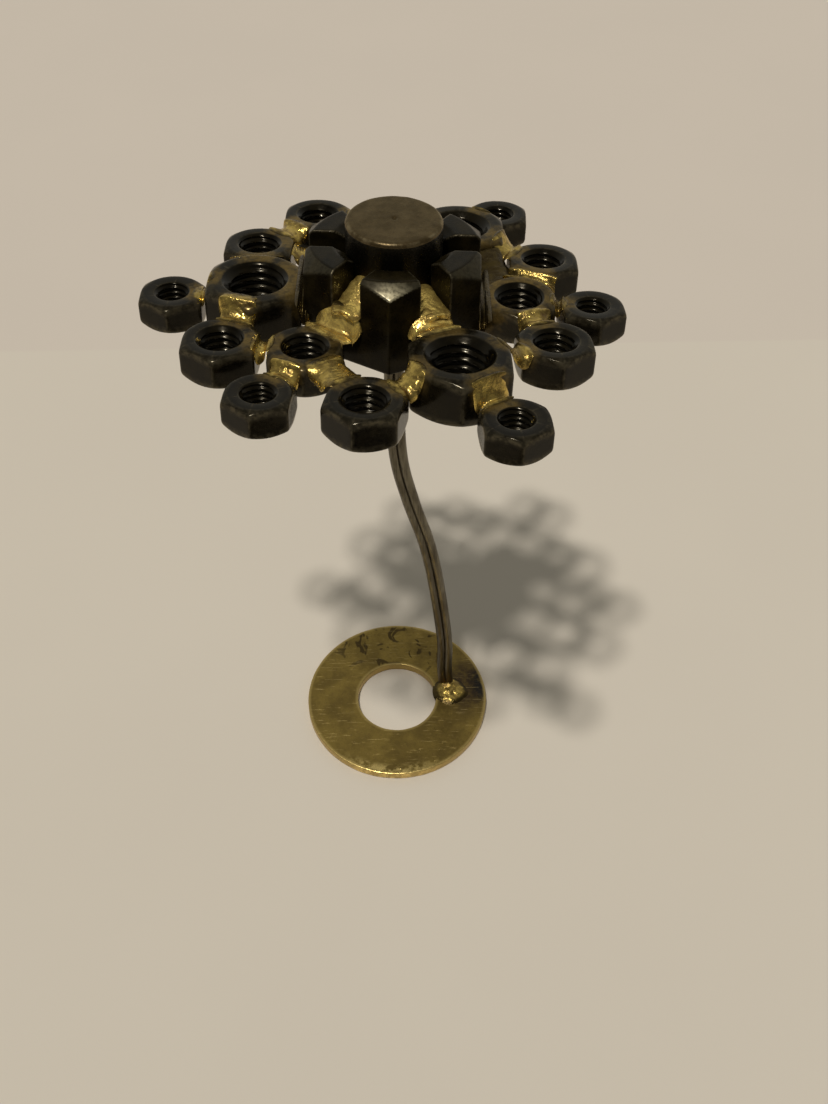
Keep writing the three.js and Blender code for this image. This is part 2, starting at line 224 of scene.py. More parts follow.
def piece(name, points, faces, place=None, sharp=None):
    """A new object from points in millimetres, moved by a matrix in millimetres."""
    verts = np.asarray(points, float)
    if place is not None:
        spin = np.array(place.to_3x3())
        verts = verts @ spin.T + np.array(place.translation)
    mesh = bpy.data.meshes.new(name)
    mesh.from_pydata((verts * MM).tolist(), [], faces)
    mesh.validate()
    mesh.update()
    mesh.shade_smooth()
    if sharp is not None:
        mesh.set_sharp_from_angle(angle=math.radians(sharp))
    thing = bpy.data.objects.new(name, mesh)
    bpy.context.scene.collection.objects.link(thing)
    return thing


def weighted(thing):
    """Lets each flat face keep its own shading beside narrow rounded edges."""
    modifier = thing.modifiers.new("weighted", "WEIGHTED_NORMAL")
    modifier.keep_sharp = True
    return thing


def grid_faces(rows, columns, wrap_rows=False):
    """Quads of a grid whose columns wrap round, and whose rows may."""
    faces = []
    for row in range(rows if wrap_rows else rows - 1):
        above = (row + 1) % rows
        for column in range(columns):
            beside = (column + 1) % columns
            faces.append((
                row * columns + column,
                row * columns + beside,
                above * columns + beside,
                above * columns + column,
            ))
    return faces


def capped(faces, rows, columns):
    """Adds a flat end to the first and the last ring of a grid."""
    first = tuple(reversed(range(columns)))
    last = tuple((rows - 1) * columns + column for column in range(columns))
    return faces + [first, last]


def store(thing, name, values):
    layer = thing.data.attributes.new(name, "FLOAT", "POINT")
    layer.data.foreach_set("value", np.asarray(values, np.float32))


def baked(thing):
    """Replaces an object's mesh by what its modifiers make of it."""
    bpy.context.view_layer.update()
    graph = bpy.context.evaluated_depsgraph_get()
    mesh = bpy.data.meshes.new_from_object(thing.evaluated_get(graph))
    thing.modifiers.clear()
    thing.data = mesh
    return thing


# ---- Places of the CAD parts --------------------------------------------------------------

def face_groups(node):
    """The flat sides of a CAD node: (area, normal, corner points in millimetres)."""
    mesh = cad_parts[node].data
    groups = {}
    for polygon in mesh.polygons:
        key = tuple(round(value, 2) for value in polygon.normal)
        corners = [tuple(mesh.vertices[i].co / MM) for i in polygon.vertices]
        area, _, points = groups.get(key, (0, None, set()))
        points.update(tuple(round(value, 3) for value in corner) for corner in corners)
        groups[key] = (area + polygon.area, polygon.normal.copy(), points)
    return sorted(groups.values(), key=lambda group: -group[0])


def upright(axis, across, origin):
    """The matrix that stands z on an axis, with x as near a direction as it can be."""
    up = axis.normalized()
    side = (across - up * across.dot(up)).normalized()
    front = up.cross(side)
    spin = Matrix((side, front, up)).transposed().to_4x4()
    return Matrix.Translation(origin) @ spin


def nut_place(node):
    """Where a plain nut sits: its middle, with x towards one of its corners."""
    normal = max((normal for _, normal, _ in face_groups(node)), key=lambda way: abs(way.z))
    axis = normal if normal.z > 0 else -normal
    low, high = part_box(node)
    middle = (low + high) / 2 / MM
    vertices = [vertex.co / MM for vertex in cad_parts[node].data.vertices]
    flat = [point - middle - axis * (point - middle).dot(axis) for point in vertices]
    return upright(axis, max(flat, key=lambda spoke: spoke.length), middle)


def base_place(node):
    """Where a turned or hexagonal part stands: the middle of its lower face."""
    _, normal, points = face_groups(node)[0]
    middle = sum((Vector(point) for point in points), Vector()) / len(points)
    spokes = [Vector(point) - middle for point in points]
    return upright(-normal, max(spokes, key=lambda spoke: spoke.length), middle)


# ---- Nuts -----------------------------------------------------------------------------

CORNER_STEPS = (0, 0.9, 2.0, 3.8, 7, 12, 18, 24, 30, 36, 42, 48, 53, 56.2, 58, 59.1)
CORNER_POWER = 46  # the higher, the sharper the upright corners
CORNER_WEAR = 0.035  # reach of the wear round an upright corner, in radians
EDGE_STEPS = 8  # of the curve over the edge between a chamfer and a side
CREASE = 62  # degrees above which a nut's edge is shaded sharp


def hex_radius(flats, turns):
    """Distance from the axis to a slightly rounded hexagon, at each angle in radians."""
    total = np.zeros_like(turns)
    for side in range(6):
        facing = np.cos(turns - math.radians(30 + 60 * side))
        total += np.maximum(facing, 0) ** CORNER_POWER
    return flats / 2 * total ** (-1 / CORNER_POWER)


def nut_angles():
    return np.radians([60 * side + step for side in range(6) for step in CORNER_STEPS])


def rounded(before, corner, after, steps):
    """Points of an easy curve past a corner, each a (radius, height) pair of arrays."""
    curve = []
    for step in range(steps + 1):
        t = step / steps
        weights = ((1 - t) ** 2, 2 * t * (1 - t), t ** 2)
        curve.append(tuple(
            sum(weight * point[k] for weight, point in zip(weights, (before, corner, after)))
            for k in (0, 1)
        ))
    return curve


def nut_outline(flats, thick, mouth, turns):
    """Rings of the outside, from the lower mouth round to the upper mouth, with wear."""
    ring = np.ones_like(turns)
    face = flats / 2 * FACE_SHARE * ring
    side = hex_radius(flats, turns)
    width = np.maximum(side - face, 0.05)
    side = face + width
    half = thick / 2 * ring
    low = half - width * SLOPE
    inner = mouth / 2 * ring
    rim = [(inner + 0.03, half - 0.03, 0.5), (inner + 0.16, half, 0.1), (face - 0.45, half, 0.0)]
    shoulder = rounded(
        (face - 0.2, half), (face, half), (face + 0.3 * width, half - 0.3 * width * SLOPE), 3
    )
    rim += [(radius, height, 0.25) for radius, height in shoulder]
    reach = np.minimum(0.42 * width, 0.6)
    corner = rounded(
        (side - reach, low + reach * SLOPE), (side, low), (side, low - 0.75), EDGE_STEPS
    )
    rim += [
        (radius, height, 0.35 + 0.65 * math.sin(math.pi * step / EDGE_STEPS))
        for step, (radius, height) in enumerate(corner)
    ]
    rim.append((side, low - 1.1, 0.05))
    upper = [(radius, height, wear) for radius, height, wear in reversed(rim)]
    lower = [(radius, -height, wear * 0.8) for radius, height, wear in rim]
    return lower + upper


def thread_count(thick, pitch):
    """How many rings the thread of a nut has."""
    return int(thick / pitch * 9) - 1


def thread_rings(bore, mouth, thick, pitch, turns):
    """Rings down the bore: a right-hand thread between two countersunk mouths."""
    rings = []
    half = thick / 2
    depth = 0.5 * pitch
    count = thread_count(thick, pitch) + 1
    for step in range(1, count):
        height = half - thick * step / count
        phase = np.mod(height / pitch - turns / (2 * math.pi), 1.0)
        groove = np.clip(1.35 * (1 - np.abs(2 * phase - 1)) - 0.12, 0.0, 1.0)
        cone = mouth / 2 - (half - abs(height)) / SLOPE * 0.75
        radius = np.maximum(bore / 2 + depth * groove, cone)
        rings.append((radius, np.full_like(turns, height), 0.0))
    return rings


def fine_nut(node):
    """A plain nut with rounded corners and a cut thread, and where it is worn and outside."""
    size = SIZES[NUT_SIZES[node]]
    turns = nut_angles()
    rings = nut_outline(size["flats"], size["thick"], size["mouth"], turns)
    rings += thread_rings(size["bore"], size["mouth"], size["thick"], size["pitch"], turns)
    points, edges = [], []
    for radius, height, wear in rings:
        points.append(np.stack([radius * np.cos(turns), radius * np.sin(turns), height], 1))
        edges.append(np.broadcast_to(wear, turns.shape))
    from_corner = np.mod(turns + math.pi / 6, math.pi / 3) - math.pi / 6
    corner = np.exp(-(from_corner / CORNER_WEAR) ** 2)
    wear = np.stack(edges)
    wear = np.maximum(wear, 0.7 * corner[None, :] * (wear > 0.04))
    faces = grid_faces(len(rings), len(turns), wrap_rows=True)
    nut = piece(node + "_fine", np.concatenate(points), faces, PLACES[node], CREASE)
    store(nut, "wear", wear.reshape(-1))
    outside = np.zeros((len(rings), len(turns)))
    outside[:len(rings) - thread_count(size["thick"], size["pitch"])] = 1
    store(nut, "outside", outside.reshape(-1))
    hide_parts(node)
    return weighted(nut)


def castle_body(name):
    """The slotted nut before its slots are cut: a turned and chamfered hexagon."""
    height = CASTLE["height"]
    turns = np.radians(np.arange(0, 360, 5.0))
    facing = np.mod(turns, math.pi / 3) - math.pi / 6
    side = CASTLE["flats"] / 2 / np.cos(facing)
    face = CASTLE["flats"] / 2 * CASTLE["share"]
    ring = np.ones_like(turns)
    bore, mouth = CASTLE["bore"] / 2, CASTLE["mouth"] / 2
    upper_mouth = mouth * CASTLE["upper_mouth"]
    rings = [
        (ring * bore, ring * (mouth - bore) * SLOPE),
        (ring * mouth, ring * 0),
        (side, ring * 0),
        (side, height - (side - face) * CASTLE["slope"]),
        (ring * face, ring * height),
        (ring * upper_mouth, ring * height),
        (ring * bore, ring * (height - (upper_mouth - bore) * SLOPE)),
    ]
    points = np.concatenate([
        np.stack([radius * np.cos(turns), radius * np.sin(turns), up], 1)
        for radius, up in rings
    ])
    return piece(name, points, grid_faces(len(rings), len(turns), wrap_rows=True))


def slot_cutter(angle):
    """A box as wide as a slot, right across the slotted nut's upper end."""
    flats, height = CASTLE["flats"], CASTLE["height"]
    half = SLOT["width"] / 2
    corners = [
        (x, y, z)
        for x in (-flats, flats)
        for y in (-half, half)
        for z in (height - SLOT["depth"], height + 5)
    ]
    sides = [(0, 1, 3, 2), (4, 6, 7, 5), (0, 4, 5, 1), (2, 3, 7, 6), (0, 2, 6, 4), (1, 5, 7, 3)]
    return piece("cutter", corners, sides, Matrix.Rotation(math.radians(angle), 4, "Z"))


def soften_edges(body):
    """Bevels the edges, then makes the mesh even and a little smoother."""
    bevel = body.modifiers.new("edges", "BEVEL")
    bevel.width = 0.2 * MM
    bevel.segments = 2
    bevel.limit_method = "ANGLE"
    bevel.angle_limit = math.radians(24)
    bevel.use_clamp_overlap = True
    skin = body.modifiers.new("skin", "REMESH")
    skin.mode = "VOXEL"
    skin.voxel_size = 0.17 * MM
    relax = body.modifiers.new("relax", "SMOOTH")
    relax.factor = 0.5
    relax.iterations = 4


def mark_castle(body):
    """Stores the worn edges, and the chamfer: faintly brushed all round, and painted bright as a
    highlight where it faces the front, where the light falls.
    """
    spots = positions(body)
    reach = np.hypot(spots[:, 0], spots[:, 1])
    face = CASTLE["flats"] / 2 * CASTLE["share"]
    cone_top = CASTLE["height"] - (reach - face) * CASTLE["slope"]
    on_cone = (np.abs(spots[:, 2] - cone_top) < 0.12) & (reach > face + 0.1)
    ahead = HEAD.to_3x3().inverted() @ Vector((0, -1, 0))
    front = spots @ np.array(ahead) / np.maximum(reach, 1)
    store(body, "wear", 0.9 * (edge_turns(body) > 0.10))
    # Painted highlight: the chamfer is bright brushed metal only where it faces the front, where the
    # light falls; elsewhere it is only faintly brushed.
    store(body, "brushed_and_painted_highlight", on_cone * (0.03 + 0.97 * smoothstep(0.8, 0.93, front)))


def fine_castle(node):
    """The slotted nut, with three slots cut across it."""
    body = castle_body(node + "_fine")
    cutters = [slot_cutter(angle) for angle in (30, 90, 150)]
    for cutter in cutters:
        modifier = body.modifiers.new("slot", "BOOLEAN")
        modifier.object = cutter
        modifier.operation = "DIFFERENCE"
        modifier.solver = "EXACT"
    soften_edges(body)
    baked(body)
    for cutter in cutters:
        bpy.data.objects.remove(cutter)
    mark_castle(body)
    body.data.transform(scaled(HEAD))
    body.data.shade_smooth()
    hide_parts(node)
    return body


def positions(thing):
    """A mesh's points in millimetres."""
    spots = np.zeros(len(thing.data.vertices) * 3, np.float32)
    thing.data.vertices.foreach_get("co", spots)
    return spots.reshape(-1, 3) / MM


def scaled(place):
    """A place in millimetres as one in metres."""
    moved = place.copy()
    moved.translation = place.translation * MM
    return moved


def edge_turns(thing):
    """How sharply the surface turns at each vertex: 0 on flat parts."""
    mesh = thing.data
    normals = np.zeros(len(mesh.vertices) * 3, np.float32)
    mesh.vertices.foreach_get("normal", normals)
    normals = normals.reshape(-1, 3)
    ends = np.zeros(len(mesh.edges) * 2, np.int32)
    mesh.edges.foreach_get("vertices", ends)
    ends = ends.reshape(-1, 2)
    apart = 1 - np.sum(normals[ends[:, 0]] * normals[ends[:, 1]], axis=1)
    turns = np.zeros(len(mesh.vertices))
    np.maximum.at(turns, ends[:, 0], apart)
    np.maximum.at(turns, ends[:, 1], apart)
    return turns


# ---- Turned and bent parts --------------------------------------------------------------

def lathe(name, profile, sides, place, wobble, closed=False):
    """A turned body. wobble(angle, radius, height) gives each point's radius and height."""
    points = []
    for radius, height in profile:
        for step in range(sides):
            turn = 2 * math.pi * step / sides
            r, z = wobble(turn, radius, height)
            points.append((r * math.cos(turn), r * math.sin(turn), z))
    faces = grid_faces(len(profile), sides, closed)
    if not closed:
        faces = capped(faces, len(profile), sides)
    return piece(name, points, faces, place)


def fine_plug(node):
    """The cylinder in the slotted nut, with a rounded rim and a small dimple on top."""
    radius, top, edge = PLUG["radius"], PLUG["height"], PLUG["edge"]
    profile = [(radius - 0.4, 0.05), (radius - 0.05, 0.3), (radius, 0.8)]
    profile += [(radius, height) for height in np.linspace(3, top - edge, 12)]
    for step in range(1, 9):
        turn = math.pi / 2 * step / 8
        profile.append((radius - edge * (1 - math.cos(turn)), top - edge * (1 - math.sin(turn))))
    for share in np.linspace(0.95, 0.1, 22):
        profile.append(((radius - edge) * share, top + 0.10 * (1 - share ** 2)))
    profile += [(0.42, top + 0.06), (0.26, top - 0.05), (0.08, top - 0.14)]

    def wobble(turn, r, z):
        spot = (r * math.cos(turn), r * math.sin(turn), z)
        dent = 0.05 * ripple(spot, 0.35, 3.1) + 0.02 * ripple(spot, 1.1, 8.2)
        if z > top - edge * 1.2:
            return r + (0.04 * ripple(spot, 0.9, 5.0) if r > radius - edge else 0), z + dent
        return r + 0.6 * dent, z

    place = base_place(node)
    back = place.inverted()
    plug = lathe(node + "_fine", profile, 120, place, wobble)
    local = positions(plug) @ np.array(back.to_3x3()).T + np.array(back.translation)
    reach = np.hypot(local[:, 0], local[:, 1])
    upper = local[:, 2] > top - edge * 0.9
    store(plug, "top", upper * 1.0)
    store(plug, "wear", 0.7 * np.exp(-((reach - (radius - edge * 0.35)) / 0.16) ** 2) * upper)
    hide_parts(node)
    return plug


def washer_centre():
    low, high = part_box("base_washer")
    return Vector(((low.x + high.x) / 2, (low.y + high.y) / 2, 0)) / MM


def quarter(x, y, radius, first):
    """Points of a quarter circle round (x, y) that starts after a number of quarters."""
    turns = [math.pi / 2 * (first + step / 4) for step in range(5)]
    return [(x + radius * math.cos(turn), y + radius * math.sin(turn)) for turn in turns]


def fine_washer(node):
    """The washer, lightly dented, with its rim burnt uneven beside the stem."""
    outer, hole, thick, edge = (WASHER[key] for key in ("outer", "hole", "thick", "edge"))
    profile = quarter(outer - edge, edge, edge, -1)
    profile += quarter(outer - edge, thick - edge, edge, 0)
    profile += [(radius, thick) for radius in np.linspace(outer - 0.7, hole + 0.7, 26)]
    profile += quarter(hole + edge, thick - edge, edge, 1)
    profile += quarter(hole + edge, edge, edge, 2)

    def wobble(turn, r, z):
        spot = (r * math.cos(turn), r * math.sin(turn), z)
        up = z / thick
        signed = turn if turn < math.pi else turn - 2 * math.pi
        burnt = math.exp(-((signed - 0.05) / 0.22) ** 2)
        rim = smoothstep(outer - 3.5, outer, r)
        r += 0.05 * ripple(spot, 0.5, 2.0) * (1 - 0.5 * rim)
        r += rim * burnt * 0.1 * (1 + ripple(spot, 1.6, 4.0))
        z += up * (0.03 * ripple(spot, 0.22, 1.0) + 0.012 * ripple(spot, 1.3, 6.0))
        z += up * rim * burnt * 0.22 * (0.4 + ripple(spot, 1.1, 9.0))
        return r, max(z, 0.0)

    place = Matrix.Translation(washer_centre())
    washer = lathe(node + "_fine", profile, 220, place, wobble, closed=True)
    mark_washer(washer)
    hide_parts(node)
    return washer


def blot(x, y, middle, half):
    """1 inside an oval mark, falling to 0 round its edge."""
    away = np.hypot((x - middle[0]) / half[0], (y - middle[1]) / half[1])
    return np.exp(-away ** 4)


def mark_washer(washer):
    """Stores where the washer is bright at its rims, burnt, sooty and stained, and the front of its
    outer rim, which is painted bright as a highlight.
    """
    spots = positions(washer) - np.array(washer_centre())
    x, y = spots[:, 0], spots[:, 1]
    reach = np.hypot(x, y)
    angle = np.degrees(np.arctan2(y, x))
    outer, hole = WASHER["outer"], WASHER["hole"]
    outer_rim = smoothstep(outer - 0.55, outer - 0.12, reach)
    front = np.exp(-((angle + 93) / 27) ** 4)
    store(washer, "wear", np.maximum(outer_rim, smoothstep(hole + 0.5, hole + 0.1, reach)))
    store(washer, "burn", blot(x, y, *BURN))
    store(washer, "soot", blot(x, y, *SOOT))
    store(washer, "stain", smoothstep(35, 55, angle) * (1 - smoothstep(125, 165, angle)))
    # Painted highlight: the front of the outer rim, where the light falls, is stored as worn so that
    # it is painted bright.
    store(washer, "worn", front * smoothstep(15.6, 17.4, reach))


def stem_route():
    """Points of the pair's centre line, in millimetres, from the washer's centre."""
    pts = [Vector(point) for point in STEM]
    route = []
    extended = [2 * pts[0] - pts[1]] + pts + [2 * pts[-1] - pts[-2]]
    for i in range(len(pts) - 1):
        p0, p1, p2, p3 = extended[i:i + 4]
        for step in range(STEM_STEPS):
            t = step / STEM_STEPS
            route.append(0.5 * (
                2 * p1 + (p2 - p0) * t + (2 * p0 - 5 * p1 + 4 * p2 - p3) * t * t
                + (3 * p1 - p0 - 3 * p2 + p3) * t * t * t
            ))
    return route + [pts[-1]]


def fine_wire(node, side):
    """One wire of the stem. side is -1 for the left one and 1 for the right one."""
    aside = washer_centre() + Vector((side * WIRE["spacing"] / 2, 0, 0))
    route = [point + aside for point in stem_route()]
    sides = WIRE["sides"]
    points = []
    across = Vector((1, 0, 0))
    for index, point in enumerate(route):
        ahead = (route[min(index + 1, len(route) - 1)] - route[max(index - 1, 0)]).normalized()
        across = (across - ahead * across.dot(ahead)).normalized()
        deep = ahead.cross(across)
        nudge = 0.03 * ripple((0, 0, point.z), 0.11, side * 4.0)
        for step in range(sides):
            turn = 2 * math.pi * step / sides
            radius = WIRE["radius"] + 0.012 * ripple((side * 3, turn, point.z), 0.9, 7.0)
            out = across * math.cos(turn) + deep * math.sin(turn)
            points.append(point + out * radius + Vector((0, nudge, 0)))
    faces = capped(grid_faces(len(route), sides), len(route), sides)
    wire = piece(node + "_fine", points, faces)
    heights = positions(wire)[:, 2]
    foot = np.exp(-((heights - WASHER["thick"]) / 4.0) ** 2)
    store(wire, "film", np.maximum(foot, np.exp(-((heights - 100) / 6.0) ** 2)))
    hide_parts(node)
    return wire


# ---- Braze ------------------------------------------------------------------------------

LOFT_SIDES = 26


def loft(name, sections, seed, rough, faded=1.0):
    """A domed skin through sections: middle, width direction, up, half width and rise.
    Both halves of a section rise above its middle, so nothing hangs below the middles.
    The skin is rippled like poured metal. faded is how brown its two ends are."""
    points = []
    count = len(sections)
    for index, (middle, wide, up, half, rise) in enumerate(sections):
        for step in range(LOFT_SIDES):
            turn = 2 * math.pi * step / LOFT_SIDES
            c, s = math.cos(turn), math.sin(turn)
            x = math.copysign(abs(c) ** 0.88, c) * half
            z = rise * abs(s) ** 0.8
            point = middle + wide * x + up * z
            out = wide * c + up * s
            swell = rough * (ripple(point, 0.9, seed) + 0.5 * ripple(point, 2.1, seed + 5))
            flow = index / count * math.pi * 2 * FLOW_WAVES
            swell += 0.035 * math.sin(flow + 2.5 * ripple(point, 0.6, seed + 9))
            end = min(index, count - 1 - index) / 3
            points.append(point + out * swell * min(1.0, end))
    faces = capped(grid_faces(count, LOFT_SIDES), count, LOFT_SIDES)
    lump = piece(name, points, faces)
    modifier = lump.modifiers.new("smooth", "SUBSURF")
    modifier.levels = 1
    modifier.render_levels = 1
    baked(lump)
    lump.data.shade_smooth()
    cad_name = name.removesuffix("_fine")
    joined = cad_name.removeprefix("braze_")
    # The listed darker pieces are partly brown tarnish, partly painted shade.
    if joined.startswith("web"):
        fade = np.full(len(lump.data.vertices), BROWN_AND_PAINTED_SHADE[joined])
    else:
        away = positions(lump) - np.array(sections[0][0])
        ahead = np.array(sections[-1][0] - sections[0][0])
        share = away @ ahead / (ahead @ ahead)
        ends = np.maximum(1 - share / 0.24, 1 - (1 - share) / 0.24).clip(0, 1) * faded
        fade = np.maximum(ends, BROWN_AND_PAINTED_SHADE.get(joined, 0))
        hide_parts(cad_name)
    store(lump, "fade", fade)
    return lump


def nut_joint(first, second, half, dip, spread_a, spread_b, deep, seed, lower=0.0):
    """Braze across the gap between two nuts, spread over the edge of each upper face."""
    a, b = PLACES["nut_" + first], PLACES["nut_" + second]
    size_a, size_b = SIZES[NUT_SIZES["nut_" + first]], SIZES[NUT_SIZES["nut_" + second]]
    up = HEAD.to_3x3() @ Vector((0, 0, 1))
    start, end = a.translation, b.translation
    flat = end - start - up * (end - start).dot(up)
    along = flat.normalized()
    wide = up.cross(along)
    top_a = start + up * size_a["thick"] / 2
    top_b = end + up * size_b["thick"] / 2
    from_a = size_a["flats"] / 2 - spread_a
    to_b = flat.length - size_b["flats"] / 2 + spread_b
    level = HEAD.translation.dot(up)
    high_a = top_a.dot(up) - level
    high_b = top_b.dot(up) - level
    edge_a = size_a["flats"] / 2 * 0.96
    edge_b = flat.length - size_b["flats"] / 2 * 0.96
    sections = []
    for index in range(NUT_STEPS + 1):
        share = index / NUT_STEPS
        reach = from_a + (to_b - from_a) * share
        across = min(max((reach - edge_a) / max(edge_b - edge_a, 0.4), 0), 1)
        skin = 0.24 * math.sin(math.pi * share) ** 0.8
        surface = high_a + (high_b - high_a) * eased(across)
        surface += skin - lower - dip * math.sin(math.pi * across) ** 1.2
        gap = math.sin(math.pi * across)
        hang = OVER_FACE + (deep - OVER_FACE) * eased(min(gap * 1.6, 1))
        ends = math.sin(math.pi * share) ** 0.35
        width = half * (0.48 + 0.52 * ends) * (1 - 0.07 * gap)
        width *= 1 + 0.24 * ripple((share * 4, 0, 0), 1.0, seed)
        thick = (0.12 + 0.88 * ends) * hang
        base = start - up * start.dot(up) + up * (level + surface - thick / 2)
        middle = base + along * reach + wide * 0.35 * ripple((share * 3, 3, 1), 1.0, seed + 2)
        sections.append((middle, wide, up, width, thick / 2))
        if index in NUT_GLOWS:
            GLOW.append((middle + up * thick / 2, width))
    kind = "braze_web" if lower else "braze"
    return loft(f"{kind}_{first}_to_{second}_fine", sections, seed, 0.10)


def head_section(local, wide, half, thick):
    """A section for loft, from places and directions in the slotted nut's own frame."""
    turn = HEAD.to_3x3()
    return HEAD @ local, turn @ wide, turn @ Vector((0, 0, 1)), half, thick / 2


def hub_joint(ring, half, climb, spread, low, seed):
    """Braze from a ring nut's upper face up the side of the slotted nut."""
    nut = PLACES["nut_" + ring]
    size = SIZES[NUT_SIZES["nut_" + ring]]
    spot = HEAD.inverted() @ nut.translation
    along = Vector((spot.x, spot.y, 0)).normalized()
    wide = Vector((0, 0, 1)).cross(along)
    reach_nut = math.hypot(spot.x, spot.y) - size["flats"] / 2
    top_nut = spot.z + size["thick"] / 2
    wall = CASTLE["flats"] / 2
    sections = []
    for index in range(HUB_STEPS + 1):
        share = index / HUB_STEPS
        reach = (reach_nut + spread) * (1 - share) + (wall - 0.9) * share
        climbing = min(max((reach_nut + 0.3 - reach) / (reach_nut + 0.3 - wall), 0), 1)
        surface = top_nut + 0.26 * math.sin(math.pi * min(share * 1.4, 1)) ** 0.5
        surface += (climb - top_nut - 0.2) * climbing ** 1.5
        surface -= 0.35 * math.sin(math.pi * climbing)
        bottom = top_nut - OVER_FACE
        bottom += (low - bottom) * eased(min(climbing * 2.5, 1))
        ends = math.sin(math.pi * min(share * 0.9 + 0.06, 1)) ** 0.4
        width = half * (0.6 + 0.4 * ends) * (1 - 0.1 * math.sin(math.pi * climbing))
        width *= 1 + 0.14 * ripple((share * 4, 0, 2), 1.0, seed)
        thick = max((surface - bottom) * (0.15 + 0.85 * min(ends * 1.1, 1)), 0.3)
        local = along * reach + Vector((0, 0, surface - thick / 2))
        local += wide * 0.3 * ripple((share * 3, 3, 1), 1.0, seed + 2)
        sections.append(head_section(local, wide, width, thick))
        if index in HUB_GLOWS:
            GLOW.append((HEAD @ (local + Vector((0, 0, thick / 2))), width))
    return loft(f"braze_hub_to_{ring}_fine", sections, seed, 0.12)


def slot_direction(wanted):
    """The way of the slot nearest a direction in degrees, in the slotted nut's own frame."""
    world = Vector((math.cos(math.radians(wanted)), math.sin(math.radians(wanted)), 0))
    local = HEAD.to_3x3().inverted() @ world
    turn = math.degrees(math.atan2(local.y, local.x))
    turn = math.radians(60 * round((turn - 30) / 60) + 30)
    return Vector((math.cos(turn), math.sin(turn), 0))


def slot_fill(name, angle, depth, outer_depth, seed):
    """Braze that has run down a slot, high against the plug and low at the outside."""
    floor = CASTLE["height"] - SLOT["depth"]
    along = slot_direction(angle)
    wide = Vector((0, 0, 1)).cross(along)
    sections = []
    inner, outer = PLUG["radius"] - 0.4, CASTLE["flats"] / 2 + 1.1
    for index in range(FILL_STEPS + 1):
        share = index / FILL_STEPS
        reach = inner + (outer - inner) * share
        fall = eased(min(share * 1.15, 1))
        surface = floor + depth + (outer_depth - depth) * fall
        bottom = floor - 0.5 - 1.2 * smoothstep(0.8, 1.0, share)
        half = SLOT["width"] / 2 + 0.12
        half *= 1 - 0.25 * smoothstep(0.85, 1.0, share)
        thick = surface - bottom
        local = along * reach + Vector((0, 0, bottom + thick / 2))
        sections.append(head_section(local, wide, half, thick))
        if index in FILL_GLOWS:
            GLOW.append((HEAD @ (local + Vector((0, 0, thick / 2))), 1.6))
    return loft(name + "_fine", sections, seed, 0.26, faded=0.0)


def wire_mound(name, mound, wires, down, seed):
    """A low mound of braze round the wires. down is True under the slotted nut."""
    sides, rings = 72, 22
    sign = -1 if down else 1
    centre = Vector(mound["place"]) + washer_centre()
    points = []
    for ring in range(rings + 1):
        share = 1 - ring / rings * 0.985
        for step in range(sides):
            turn = 2 * math.pi * step / sides
            swell = 0.16 * ripple((math.cos(turn), math.sin(turn), seed), 1.1, seed)
            edge = mound["radius"] * (1 + swell)
            x, y = edge * share * math.cos(turn), edge * share * math.sin(turn)
            near = min(math.hypot(x - wx, y - wy) for wx, wy in wires) - WIRE["radius"]
            climb = mound["climb"] * math.exp(-(max(near, 0) / 0.75) ** 1.3)
            rise = mound["height"] * (1 - share ** 2.2) + climb * (1 - share ** 6)
            rise *= 1 + 0.22 * ripple((x, y, 0), 0.9, seed + 3)
            rise += 0.05 * ripple((x, y, 0), 2.6, seed + 6) * (1 - share ** 4)
            points.append((centre.x + x, centre.y + y, centre.z + sign * (rise - 0.25)))
    faces = capped(grid_faces(rings + 1, sides), rings + 1, sides)
    if down:
        faces = [tuple(reversed(face)) for face in faces]
    thing = piece(name + "_fine", points, faces)
    out = np.repeat(1 - np.arange(rings + 1) / rings, sides)
    store(thing, "fade", 1.1 * smoothstep(0.35, 0.95, out))
    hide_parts(name)
    return thing


def add_film(thing, reach, strength):
    """Stores how much brass film each vertex has, from how near it is to the braze."""
    spots = positions(thing)
    film = np.zeros(len(spots))
    for spot, width in GLOW:
        away = np.linalg.norm(spots - np.array(spot)[None, :], axis=1)
        film = np.maximum(film, np.exp(-(np.maximum(away - width * 0.55, 0) / reach) ** 2))
    store(thing, "film", film * strength)


# ---- Materials --------------------------------------------------------------------------

